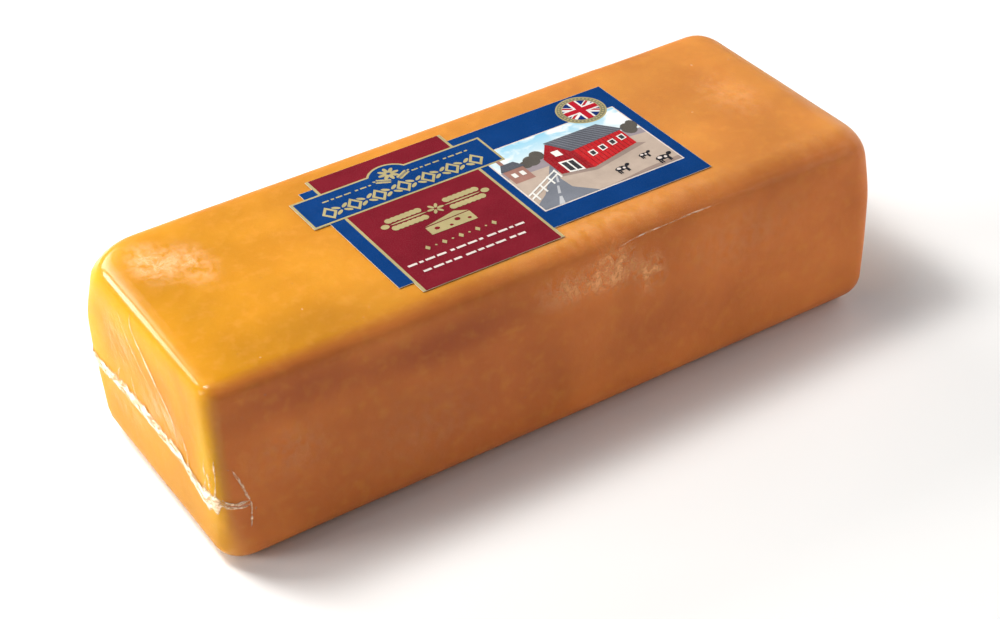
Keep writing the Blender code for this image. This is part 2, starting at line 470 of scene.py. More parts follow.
def film_material():
    """Clear film: no more than a breath of haze, but for streaky blooms."""
    material, tree, shader = new_material("clear_film")
    coords = tree.nodes.new("ShaderNodeTexCoord").outputs["Object"]
    stretch = tree.nodes.new("ShaderNodeMapping")
    stretch.vector_type = "TEXTURE"
    fill(stretch, {"Rotation": (STREAK_TURN, 0.0, 0.0), "Scale": (1.0, 1.0, STREAK_STRETCH)})
    tree.links.new(coords, stretch.inputs["Vector"])
    streaks = noise_at(tree, stretch.outputs["Vector"], STREAKS_PER_METRE, 8.0, 0.72, 0.4)
    flecks = noise_at(tree, coords, FLECKS_PER_METRE, 3.0, 0.5)
    streaky = spread(tree, streaks, 0.38, 0.6, 0.0, 1.0)
    patch = combine(tree, "MULTIPLY", painted(tree, "milk"), streaky)
    dots = spread(tree, flecks, 0.735, 0.78, 0.0, FLECK_COVER)
    alpha = combine(tree, "MAXIMUM", combine(tree, "MULTIPLY", patch, BLOOM_COVER), dots)
    alpha = combine(tree, "MAXIMUM", alpha, CLEAR_COVER)
    tree.links.new(alpha, shader.inputs["Alpha"])
    # The blooms on the long sides are painted warmer, to suit their shade
    milk_colour = blend_colours(tree, painted(tree, "side"), FILM_MILK, FILM_MILK_SHADE_TINTED_SIDE)
    tree.links.new(milk_colour, shader.inputs["Base Color"])
    fill(shader, {"Roughness": 0.3, "Specular IOR Level": 0.15})
    bump(tree, streaks, STREAK_RELIEF, 0.2, shader)
    return material


film_bm = block_mesh(FILM_CELLS, FILM_GRADING)
milk_layer = film_bm.verts.layers.float.new("milk")
film_side_layer = film_bm.verts.layers.float.new("side")
for vert in film_bm.verts:
    vert[film_side_layer] = ease(abs(rounded(vert.co)[1].y))
    vert.co = block_point(vert.co, 0.0)
    vert[milk_layer] = patch_at(vert.co, BLOOMS)
film = new_piece("film", film_bm, film_material(), "sealed_cheese")

# So thin a film lets all of the light through to the cheese
film.visible_shadow = False


# The weld: where the bag was closed across each end, its two walls are melted together in a
# frosted, crinkled band. On the left it wraps the corners and dies out on the long sides. On
# the right it is narrower, and fades out before it comes to the corners.
WELD_LINE = (
    (0.065, 0.0325), (0.054, 0.0325), (0.042, 0.0329), (0.0326, 0.0338), (0.0176, 0.0356),
    (0.0036, 0.036), (-0.0085, 0.0352), (-0.0194, 0.0349), (-0.0253, 0.035), (-0.0315, 0.0318),
    (-0.0401, 0.0293), (-0.046, 0.0304), (-0.054, 0.0328), (-0.0574, 0.0315), (-0.061, 0.0299),
    (-0.065, 0.0294),
)
WELD_HALF_WIDTH = 0.0035
WELD_RIGHT_HALF_WIDTH = 0.0019
WELD_SWELL = 0.0013
WELD_SWELL_PLACE = -0.043
WELD_SWELL_RUN = 0.009
WELD_LIFT = 0.00003
WELD_RISE = 0.00045
WELD_WRAP = 0.011
WELD_STOP = 0.01
WELD_EAR_FADE = 0.005
WELD_EAR_COVER = 0.3
WELD_RIGHT_FADE = 0.014
WELD_STEPS = 620
WELD_ROWS = 12
WELD_RIPPLES_PER_METRE = 330
WELD_WAVERS_PER_METRE = 240
WELD_WAVER = 0.0005
CRINKLES_PER_METRE = 340
FINE_CRINKLES_PER_METRE = 1300
CRACKLES_PER_METRE = 190
FROST_RELIEF = 0.0008
FROST_WHITE = (1.0, 0.83, 0.64)
FROST_SHADE = (0.92, 0.58, 0.3)


def weld_level(along):
    """Height of the weld where it crosses this distance along the end."""
    knots = sorted(WELD_LINE)
    for first, second in zip(knots, knots[1:]):
        if along <= second[0]:
            share = (along - first[0]) / (second[0] - first[0])
            return first[1] + (second[1] - first[1]) * ease(share)
    return knots[-1][1]


def frost_material():
    """Melted and creased film: white and rough where it crinkles, and clear between."""
    material, tree, shader = new_material("frosted_film")
    crackle = noise_at(tree, painted(tree, "band", "Vector"), 1.0, 5.0, 0.68, 0.7)
    white = spread(tree, crackle, 0.42, 0.58, 0.0, 1.0)
    crinkled = spread(tree, crackle, 0.36, 0.56, 0.34, 1.0)
    body = combine(tree, "MULTIPLY", crinkled, painted(tree, "cover"))
    tree.links.new(body, shader.inputs["Alpha"])
    tree.links.new(blend_colours(tree, white, FROST_SHADE, FROST_WHITE), shader.inputs["Base Color"])
    fill(shader, {"Roughness": 0.28, "Specular IOR Level": 0.25})
    bump(tree, crackle, FROST_RELIEF, 0.5, shader)
    return material


def make_weld(name, end, material):
    """The band across one end of the block: -1 is the left end."""
    bm = bmesh.new()
    bmesh.ops.create_grid(bm, x_segments=WELD_STEPS, y_segments=WELD_ROWS, size=1.0)
    cover_layer = bm.verts.layers.float.new("cover")
    band_layer = bm.verts.layers.float_vector.new("band")
    on_left = end < 0
    run = HALF.y + WELD_WRAP if on_left else HALF.y - WELD_STOP
    half_width = WELD_HALF_WIDTH if on_left else WELD_RIGHT_HALF_WIDTH
    fade_out = WELD_EAR_FADE if on_left else WELD_RIGHT_FADE
    least_cover = WELD_EAR_COVER if on_left else 0.0
    for vert in bm.verts:
        along = vert.co.x * run
        across = vert.co.y
        taper = ease((run - abs(along)) / fade_out)
        swell = math.exp(-(((along - WELD_SWELL_PLACE) / WELD_SWELL_RUN) ** 2))
        ripple = Vector((along * WELD_RIPPLES_PER_METRE, math.copysign(3.0, across), end))
        ragged = 1 + 0.5 * noise.noise(ripple)
        wrapped = ease((abs(along) - HALF.y + 0.003) / 0.004)
        width = (half_width + WELD_SWELL * swell) * ragged * (1 - 0.6 * wrapped)
        waver = noise.noise(Vector((along * WELD_WAVERS_PER_METRE, end, 0.5)))
        level = weld_level(along) + WELD_WAVER * waver
        slant = along * CRINKLES_PER_METRE + across * 0.8
        folds = abs(noise.noise(Vector((slant, across * 1.5, end))))
        fine = noise.noise(Vector((along * FINE_CRINKLES_PER_METRE, across * 3.0, end)))
        hump = (1 - across * across) * (0.25 + 0.75 * taper) * (1 - 0.2 * wrapped)
        rise = WELD_RISE * hump * min(max(0.35 + 1.3 * folds + 0.18 * fine, 0.0), 1.0)
        wall = math.copysign(min(abs(along), HALF.y), along)
        sharp = Vector((end * (HALF.x - max(abs(along) - HALF.y, 0)), wall, level - HALF.z))
        sharp.z += across * width
        vert.co = block_point(sharp, WELD_LIFT + rise)
        rims = 0.15 + 0.85 * math.exp(-(((abs(across) - 0.7) / 0.2) ** 2))
        cover = 1 + (rims - 1) * wrapped
        skirt = ease((1 - abs(across)) / 0.35)
        vert[cover_layer] = cover * skirt * (least_cover + (1 - least_cover) * taper)
        crackle_along = along * CRACKLES_PER_METRE + across * 0.5
        vert[band_layer] = Vector((crackle_along, across * 1.5, end * 7.0))
    if end > 0:
        bmesh.ops.reverse_faces(bm, faces=bm.faces)
    return new_piece(name, bm, material, "sealed_cheese")


frosted = frost_material()
make_weld("weld_left", -1, frosted)
make_weld("weld_right", 1, frosted)


# The folds: thin creases that the film pulled into as it shrank. Most of them run out from the
# weld, some gather at the front corner, and one lies along the top's front edge.
FOLD_STEPS = 80
FOLD_ROWS = 6
FOLD_LIFT = 0.00002
FOLD_TAPER = 0.2

# Each fold: the face it lies on, its half width, rise and cover, and its line on the face
FOLDS = (
    ("left", 0.0008, 0.0004, 0.9, (
        (0.005, 0.0775), (0.001, 0.0699), (-0.0035, 0.0658), (-0.0121, 0.0581),
        (-0.0203, 0.052), (-0.0236, 0.047), (-0.0248, 0.0365),
    )),
    ("left", 0.0009, 0.0003, 0.35, (
        (0.013, 0.074), (0.009, 0.066), (0.002, 0.059), (-0.006, 0.053),
    )),
    ("left", 0.0006, 0.00035, 0.6, ((-0.031, 0.033), (-0.0325, 0.04), (-0.03, 0.048))),
    ("left", 0.0006, 0.0004, 0.7, ((-0.044, 0.0315), (-0.0455, 0.04), (-0.046, 0.048))),
    ("left", 0.0007, 0.00045, 0.9, ((-0.0475, 0.032), (-0.0485, 0.039), (-0.048, 0.044))),
    ("left", 0.0007, 0.00045, 0.9, ((-0.0505, 0.033), (-0.0525, 0.042), (-0.053, 0.052))),
    ("left", 0.0006, 0.0003, 0.6, ((0.025, 0.0335), (0.0235, 0.039), (0.02, 0.045))),
    ("left", 0.0006, 0.0003, 0.5, ((0.006, 0.035), (0.0085, 0.04), (0.01, 0.047))),
    ("front", 0.0006, 0.0004, 1.0, (
        (-0.139, 0.0345), (-0.1366, 0.0327), (-0.1333, 0.0306), (-0.1288, 0.0306),
    )),
    ("front", 0.0006, 0.0004, 0.9, (
        (-0.139, 0.0325), (-0.1366, 0.0306), (-0.1327, 0.029), (-0.129, 0.0285),
    )),
    ("front", 0.0006, 0.0003, 0.9, (
        (-0.1289, 0.031), (-0.1287, 0.027), (-0.1292, 0.023), (-0.1297, 0.019),
    )),
    ("front", 0.0008, 0.0003, 0.8, (
        (-0.1287, 0.0298), (-0.1298, 0.034), (-0.1307, 0.0377), (-0.1337, 0.046),
    )),
    ("front", 0.0005, 0.00025, 0.6, (
        (0.02, 0.0722), (0.03, 0.0735), (0.044, 0.0738), (0.052, 0.074), (0.066, 0.0737),
    )),
)


def smooth_line(knots, t):
    """A point on a smooth curve through the knots, t going from 0 to 1."""
    place = t * (len(knots) - 1)
    index = min(int(place), len(knots) - 2)
    u = place - index
    before = Vector(knots[max(index - 1, 0)])
    start = Vector(knots[index])
    stop = Vector(knots[index + 1])
    after = Vector(knots[min(index + 2, len(knots) - 1)])
    bow = (stop - before) * (u - 1) ** 2 * u + (after - start) * (u - 1) * u * u
    return start + (stop - start) * ease(u) + bow / 2


def sharp_point(face, point):
    """The point of the sharp box for a place on one of its faces."""
    if face == "left":
        return Vector((-HALF.x, point.x, point.y - HALF.z))
    return Vector((point.x, -HALF.y, point.y - HALF.z))


def make_folds(material):
    """All the folds as one piece: each is a narrow strip with a raised middle."""
    bm = bmesh.new()
    cover_layer = bm.verts.layers.float.new("cover")
    band_layer = bm.verts.layers.float_vector.new("band")
    for number, (face, half_width, rise, cover, knots) in enumerate(FOLDS):
        strip = bmesh.ops.create_grid(bm, x_segments=FOLD_STEPS, y_segments=FOLD_ROWS, size=1.0)
        for vert in strip["verts"]:
            along = (vert.co.x + 1) / 2
            across = vert.co.y
            here = smooth_line(knots, along)
            ahead = smooth_line(knots, min(along + 0.01, 1.0))
            ahead -= smooth_line(knots, max(along - 0.01, 0.0))
            sideways = Vector((-ahead.y, ahead.x)).normalized()
            taper = ease(along / FOLD_TAPER) * ease((1 - along) / FOLD_TAPER)
            shake = 0.75 + 0.6 * noise.noise(Vector((along * 8, number * 3.1, 0)))
            point = here + sideways * across * half_width * (0.3 + 0.7 * taper) * shake
            height = rise * (1 - across * across) * taper * shake
            vert.co = block_point(sharp_point(face, point), FOLD_LIFT + height)
            skirt = ease((1 - abs(across)) / 0.5)
            vert[cover_layer] = cover * (0.25 + 0.75 * taper) * skirt * shake
            vert[band_layer] = Vector((along * 14, across * 0.6, number * 5.0))
    bmesh.ops.recalc_face_normals(bm, faces=bm.faces)
    return new_piece("folds", bm, material, "sealed_cheese")


make_folds(frosted)


# The label: a flat sheet of coated paper stuck on the film. Each field of ink is a hair higher
# than the one it is printed on.
PAPER_LIFT = 0.00004
PAPER_THICKNESS = 0.00014
INK_STEP = 0.00002
INK_THICKNESS = 0.00001
OVERLAP_STEP = 0.000001
OVERLAP_LEVELS = 8
FIELD = (-0.0593, 0.0717, -0.0393, 0.0323)
PANEL = (-0.0537, 0.0033, -0.0458, 0.0378)
PLAQUE = (-0.0655, 0.014, 0.0085, 0.0278)
ARCH_MIDDLE = (-0.026, 0.0222)
ARCH_RADIUS = 0.0096
CUT_EDGE = 0.00012
CUT_ANGLE = math.radians(40)
ARCH_SIDES = 64
PANEL_BORDER = 0.0011
PLAQUE_BORDER = 0.0009

PAPER_WHITE = (0.55, 0.47, 0.34)
DEEP_BLUE = (0.0008, 0.034, 0.152)
DARK_RED = (0.16, 0.0072, 0.0165)
DULL_GOLD = (0.36, 0.3, 0.145)
PRINT_WHITE = (0.62, 0.54, 0.5)
WORN_INK = (0.5, 0.46, 0.42)
INK_DOTS_PER_METRE = 2600.0
INK_CLOUDS_PER_METRE = 120.0
INK_RELIEF = 0.00008

# What goes into the effect that all inks share, and what comes out of it
INK_SOCKETS = (
    ("Colour", "INPUT", "Color"),
    ("Wear", "INPUT", "Float"),
    ("Colour", "OUTPUT", "Color"),
    ("Roughness", "OUTPUT", "Float"),
    ("Height", "OUTPUT", "Float"),
)


def thicken(bm, thickness):
    """Give a sheet its thickness, downwards."""
    sheet = bmesh.ops.extrude_face_region(bm, geom=bm.faces[:])
    moved = [item for item in sheet["geom"] if isinstance(item, bmesh.types.BMVert)]
    bmesh.ops.translate(bm, vec=(0, 0, -thickness), verts=moved)
    bmesh.ops.recalc_face_normals(bm, faces=bm.faces)


def raise_to(bm, level):
    """Move a flat sheet to this level above the block's top."""
    bmesh.ops.translate(bm, vec=(0, 0, BLOCK_HEIGHT + level), verts=bm.verts)


def add_box(bm, left, right, front, back):
    """A rectangle on the sheet."""
    middle = Matrix.Translation(((left + right) / 2, (front + back) / 2, 0))
    size = Matrix.Diagonal((right - left, back - front, 1, 1))
    bmesh.ops.create_grid(bm, x_segments=1, y_segments=1, size=0.5, matrix=middle @ size)


def next_rise(bm):
    """A hair's rise for the next shape, so that shapes that cross never lie in one plane."""
    return OVERLAP_STEP * (len(bm.faces) % OVERLAP_LEVELS)


def add_round(bm, x, y, width, height, sides, turn=0.0):
    """An ellipse on the sheet, or with four sides a lozenge."""
    place = Matrix.Translation((x, y, next_rise(bm))) @ Matrix.Rotation(math.radians(turn), 4, "Z")
    size = Matrix.Diagonal((width, height, 1, 1))
    bmesh.ops.create_circle(bm, cap_ends=True, segments=sides, radius=0.5, matrix=place @ size)


def add_shape(bm, *corners):
    """A shape with straight sides on the sheet, its corners counter-clockwise."""
    rise = next_rise(bm)
    bm.faces.new([bm.verts.new((x, y, rise)) for x, y in corners])


def round_sheet(middle, radius, sides):
    """A round sheet of its own."""
    bm = bmesh.new()
    add_round(bm, *middle, 2 * radius, 2 * radius, sides)
    return bm


def inset_box(box, x, y):
    """A box moved in by x at its sides and by y at its ends."""
    return (box[0] + x, box[1] - x, box[2] + y, box[3] - y)


def ink_grain():
    """Shared effect: the faint mottle of ink on coated paper, as a colour, a roughness and a height."""
    group = bpy.data.node_groups.new("ink_grain", "ShaderNodeTree")
    for name, direction, kind in INK_SOCKETS:
        group.interface.new_socket(name, in_out=direction, socket_type="NodeSocket" + kind)
    start = group.nodes.new("NodeGroupInput")
    finish = group.nodes.new("NodeGroupOutput")
    coords = group.nodes.new("ShaderNodeTexCoord").outputs["Object"]
    dots = noise_at(group, coords, INK_DOTS_PER_METRE, 2.0, 0.5)
    cloud = noise_at(group, coords, INK_CLOUDS_PER_METRE, 4.0, 0.6)
    pale = combine(group, "MULTIPLY", spread(group, dots, 0.45, 0.8, 0.0, 1.0), start.outputs["Wear"])
    lifted = blend_colours(group, pale, start.outputs["Colour"], WORN_INK)
    shade = group.nodes.new("ShaderNodeHueSaturation")
    group.links.new(lifted, shade.inputs["Color"])
    group.links.new(spread(group, cloud, 0.3, 0.7, 0.9, 1.1), shade.inputs["Value"])
    group.links.new(shade.outputs["Color"], finish.inputs["Colour"])
    group.links.new(spread(group, cloud, 0.3, 0.7, 0.36, 0.5), finish.inputs["Roughness"])
    group.links.new(combine(group, "ADD", dots, cloud), finish.inputs["Height"])
    return group


ink_effect = ink_grain()


def ink_material(name, colour, wear):
    """One ink on the label's paper."""
    material, tree, shader = new_material(name)
    effect = tree.nodes.new("ShaderNodeGroup")
    effect.node_tree = ink_effect
    fill(effect, {"Colour": (*colour, 1.0), "Wear": wear})
    tree.links.new(effect.outputs["Colour"], shader.inputs["Base Color"])
    tree.links.new(effect.outputs["Roughness"], shader.inputs["Roughness"])
    fill(shader, {"Specular IOR Level": 0.02})
    bump(tree, effect.outputs["Height"], INK_RELIEF, 0.3, shader)
    return material


def print_piece(name, bm, material, layer):
    """A field of ink on the label, this many inks up from the paper."""
    raise_to(bm, PAPER_LIFT + PAPER_THICKNESS + INK_STEP * layer)
    thicken(bm, INK_THICKNESS)
    piece = new_piece(name, bm, material, "label")
    piece.data.set_sharp_from_angle(angle=CUT_ANGLE)
    return piece


blue_ink = ink_material("blue_ink", DEEP_BLUE, 0.04)
red_ink = ink_material("red_ink", DARK_RED, 0.05)
gold_ink = ink_material("gold_ink", DULL_GOLD, 0.1)
white_ink = ink_material("white_ink", PRINT_WHITE, 0.05)
paper = ink_material("label_paper", PAPER_WHITE, 0.05)

paper_bm = bmesh.new()
for box in (FIELD, PANEL, PLAQUE):
    add_box(paper_bm, *box)
raise_to(paper_bm, PAPER_LIFT + PAPER_THICKNESS)
thicken(paper_bm, PAPER_THICKNESS)
paper_piece = new_piece("label_paper", paper_bm, paper, "label")
paper_piece.data.set_sharp_from_angle(angle=CUT_ANGLE)

# Each plain field: its name, its box, the border it leaves at its sides and ends, its ink and layer
PLAIN_FIELDS = (
    ("blue_field", FIELD, 0.0, 0.0, blue_ink, 1),
    ("panel_border", PANEL, 0.0, 0.0, gold_ink, 2),
    ("red_panel", PANEL, PANEL_BORDER, 0.0, red_ink, 3),
    ("plaque_border", PLAQUE, 0.0, 0.0, gold_ink, 5),
    ("blue_plaque", PLAQUE, PLAQUE_BORDER, PLAQUE_BORDER, blue_ink, 6),
)
for name, box, side_border, end_border, ink, layer in PLAIN_FIELDS:
    field_bm = bmesh.new()
    add_box(field_bm, *inset_box(box, side_border + CUT_EDGE, end_border + CUT_EDGE))
    print_piece(name, field_bm, ink, layer)

ARCHES = (
    ("arch_border", ARCH_RADIUS, gold_ink, 4),
    ("blue_arch", ARCH_RADIUS - PLAQUE_BORDER, blue_ink, 7),
)
for name, radius, ink, layer in ARCHES:
    print_piece(name, round_sheet(ARCH_MIDDLE, radius, ARCH_SIDES), ink, layer)


# The gold ornament: plain shapes of dull gold ink. Lozenges and leaves run along the plaque, a
# rosette fills the arch, and wheat ears and a wedge of cheese lie on the panel.
BAND_MIDDLE = 0.0148
BAND_UNITS = 7
BAND_FROM = -0.056
BAND_TO = 0.005
BAND_LOZENGE = (0.0062, 0.0086)
BAND_HOLE = (0.0036, 0.005)
LEAF = (0.0034, 0.0015)
LEAF_REACH = 0.0022
LEAF_TURNS = (38, 142, 218, 322)
WHEAT_PAIRS = 7
GRAIN_SIDES = 12
SMALL_EAR = (0.007, 0.003)
LARGE_EAR = (0.018, 0.0098)
EARS_LEVEL = -0.0046
ROW_LOZENGES = 9
ROW_FROM = -0.039
ROW_TO = -0.012
ROW_LEVEL = -0.0243

# The wedge's holes: place and size
WEDGE_HOLES = (
    (-0.03, -0.0157, 0.002),
    (-0.0248, -0.0168, 0.0014),
    (-0.0212, -0.0148, 0.0022),
    (-0.0172, -0.0165, 0.0015),
)


def add_wheat(bm, x, y, length, width, turn):
    """A wheat ear: grains in pairs along a stem, and one at its tip."""
    around = Matrix.Rotation(math.radians(turn), 2)
    for index in range(WHEAT_PAIRS):
        step = length * (0.14 + 0.76 * index / WHEAT_PAIRS)
        for side in (-1, 1):
            spot = around @ Vector((step, side * width * 0.27))
            grain_turn = turn + side * 34
            add_round(bm, x + spot.x, y + spot.y, length * 0.17, width * 0.32, GRAIN_SIDES, grain_turn)
    tip = around @ Vector((length * 0.95, 0))
    add_round(bm, x + tip.x, y + tip.y, length * 0.18, width * 0.3, GRAIN_SIDES, turn)
    stem = around @ Vector((length * 0.42, 0))
    add_round(bm, x + stem.x, y + stem.y, length * 0.84, width * 0.09, GRAIN_SIDES, turn)


def add_rosette(bm, x, y, radius, petals):
    """A small round flower of petals."""
    for petal in range(petals):
        degrees = 360 * petal / petals
        out = Matrix.Rotation(math.radians(degrees), 2) @ Vector((radius * 0.58, 0))
        add_round(bm, x + out.x, y + out.y, radius * 0.84, radius * 0.38, GRAIN_SIDES, degrees)


gold_bm = bmesh.new()
inner_bm = bmesh.new()
unit = (BAND_TO - BAND_FROM) / (BAND_UNITS - 1)
for index in range(BAND_UNITS):
    x = BAND_FROM + unit * index
    add_round(gold_bm, x, BAND_MIDDLE, *BAND_LOZENGE, 4)
    add_round(inner_bm, x, BAND_MIDDLE, *BAND_HOLE, 4)
    if index:
        middle = x - unit / 2
        for turn in LEAF_TURNS:
            out = Matrix.Rotation(math.radians(turn), 2) @ Vector((LEAF_REACH, 0))
            add_round(gold_bm, middle + out.x, BAND_MIDDLE + out.y * 1.2, *LEAF, GRAIN_SIDES, turn)
add_rosette(gold_bm, ARCH_MIDDLE[0], ARCH_MIDDLE[1] + 0.003, 0.0042, 8)
add_wheat(gold_bm, ARCH_MIDDLE[0] + 0.0012, ARCH_MIDDLE[1] - 0.002, *SMALL_EAR, 28)
add_wheat(gold_bm, ARCH_MIDDLE[0] - 0.0012, ARCH_MIDDLE[1] - 0.002, *SMALL_EAR, 152)
add_wheat(gold_bm, -0.0205, EARS_LEVEL, *LARGE_EAR, 0)
add_wheat(gold_bm, -0.0275, EARS_LEVEL, *LARGE_EAR, 180)
add_rosette(gold_bm, -0.024, EARS_LEVEL, 0.0034, 6)
add_shape(gold_bm, (-0.0335, -0.0128), (-0.015, -0.0122), (-0.0195, -0.0096))
add_shape(gold_bm, (-0.0335, -0.0184), (-0.015, -0.0186), (-0.015, -0.0127), (-0.0335, -0.0133))
for index in range(ROW_LOZENGES):
    x = ROW_FROM + (ROW_TO - ROW_FROM) * index / (ROW_LOZENGES - 1)
    tall = index % 2 == 0
    add_round(gold_bm, x, ROW_LEVEL, 0.002 if tall else 0.0011, 0.003 if tall else 0.0011, 4)
print_piece("gold_ornament", gold_bm, gold_ink, 8)
print_piece("band_lozenges", inner_bm, blue_ink, 9)

hole_bm = bmesh.new()
for x, y, size in WEDGE_HOLES:
    add_round(hole_bm, x, y, size, size * 0.9, 20)
print_piece("wedge_holes", hole_bm, red_ink, 9)


# The dashes: rows of plain bars of ink, two in white on the panel and two in gold on the plaque.
# They are of uneven lengths, and each fourth gap is wider.
DASH_HEIGHT = 0.0011
DASH_GAP = 0.0009
PLAQUE_DASH_HEIGHT = 0.7 * DASH_HEIGHT
PANEL_DASHES = ((-0.0505, -0.0022, -0.0303), (-0.0475, -0.0052, -0.0357))
PLAQUE_DASHES = ((-0.055, -0.035, 0.0222), (-0.018, 0.006, 0.0222))


def add_dashes(bm, left, right, y, height):
    """A row of dashes of uneven lengths."""
    x = left
    index = 0
    while x < right - DASH_GAP:
        length = min(height * (1.4 + 2.2 * abs(math.sin(index * 2.1 + y * 900))), right - x)
        add_box(bm, x, x + length, y - height / 2, y + height / 2)
        x += length + DASH_GAP * (2.0 if index % 4 == 3 else 1.0)
        index += 1


dash_bm = bmesh.new()
for left, right, y in PANEL_DASHES:
    add_dashes(dash_bm, left, right, y, DASH_HEIGHT)
print_piece("pale_dashes", dash_bm, white_ink, 8)
gold_dash_bm = bmesh.new()
for left, right, y in PLAQUE_DASHES:
    add_dashes(gold_dash_bm, left, right, y, PLAQUE_DASH_HEIGHT)
print_piece("gold_dashes", gold_dash_bm, gold_ink, 8)


# The picture: a small printed view of a red barn by a lane, made of plain shapes, in a window
# with a pale border.
PICTURE = (0.0064, 0.0672, -0.029, 0.0168)
PICTURE_BORDER = 0.0006
SKY_LOW = (0.62, 0.7, 0.72)
SKY_HIGH = (0.22, 0.5, 0.66)
CLOUD_WHITE = (0.76, 0.78, 0.78)
CLOUD_PUFFS_PER_METRE = 95.0


def picture_point(x, y):
    """A place in the picture, given in millimetres from its front left corner."""
    return PICTURE[0] + x / 1000, PICTURE[2] + y / 1000


def sky_material():
    """Printed sky: pale blue above, white low down, with soft clouds."""
    material, tree, shader = new_material("printed_sky")
    coords = tree.nodes.new("ShaderNodeTexCoord").outputs["Object"]
    split = tree.nodes.new("ShaderNodeSeparateXYZ")
    tree.links.new(coords, split.inputs["Vector"])
    height = spread(tree, split.outputs["Y"], 0.002, PICTURE[3], 0.0, 1.0)
    puffs = noise_at(tree, coords, CLOUD_PUFFS_PER_METRE, 5.0, 0.55, 0.5)
    cloud = spread(tree, puffs, 0.46, 0.6, 0.0, 1.0)
    blue = blend_colours(tree, height, SKY_LOW, SKY_HIGH)
    colour = blend_colours(tree, cloud, blue, CLOUD_WHITE)
    tree.links.new(colour, shader.inputs["Base Color"])
    fill(shader, {"Roughness": 0.42, "Specular IOR Level": 0.3})
    return material


def slanted(x, y, width, slope, right_top, left_top):
    """A shape with upright sides whose foot rises by the slope; its tops are above its front left."""
    return ((x, y), (x + width, y + slope), (x + width, y + right_top), (x, y + left_top))


def slats(corners, count, width):
    """Thin upright bars across a shape of four corners, counter-clockwise from the front left."""
    front_left, front_right, back_right, back_left = (Vector(corner) for corner in corners)
    bars = []
    for index in range(1, count):
        share = index / count
        low = front_left.lerp(front_right, share)
        high = back_left.lerp(back_right, share)
        along = (front_right - front_left).normalized() * width
        bars.append((tuple(low), tuple(low + along), tuple(high + along), tuple(high)))
    return tuple(bars)


frame_bm = bmesh.new()
add_box(frame_bm, *PICTURE)
print_piece("picture_border", frame_bm, white_ink, 2)

sky_bm = bmesh.new()
add_box(sky_bm, *inset_box(PICTURE, PICTURE_BORDER, PICTURE_BORDER))
print_piece("picture_sky", sky_bm, sky_material(), 3)

# What the picture shows, in millimetres from its front left corner
BARN_SIDE = ((31, 14), (53, 19), (53, 30), (31, 28.6))
BARN_FRONT = ((18.5, 17), (31, 14), (31, 28.6), (18.5, 29))
BARN_GABLE = ((18.5, 29), (31, 28.6), (24.5, 37.5))
BARN_ROOF = ((30, 28), (54.5, 30), (48, 38.5), (24.3, 38.4))
WINDOWS = ((34.5, 20.4), (39.5, 21.4), (44.5, 22.4), (49.2, 23.3))
TREES = ((14.5, 31, 6.5, 7), (18, 33, 5.5, 6.5), (56.5, 29, 6, 8), (59, 31, 4, 6), (11.5, 30, 5, 5))
COWS = ((38, 7.5, 1.0), (50, 10.5, 0.8), (54.5, 5.0, 1.1))
FENCE_POSTS = ((2.5, 9.5), (7.5, 12.5), (12.5, 15.3), (17, 17.6))

WINDOW_TRIM = tuple(slanted(x, y, 2.8, 0.6, 4.0, 3.6) for x, y in WINDOWS)
WINDOW_PANES = tuple(slanted(x + 0.5, y + 0.6, 1.8, 0.4, 2.8, 2.5) for x, y in WINDOWS)
FENCE_TRIM = tuple(slanted(x, y - 2.5, 0.8, 0.4, 6.1, 5.7) for x, y in FENCE_POSTS)

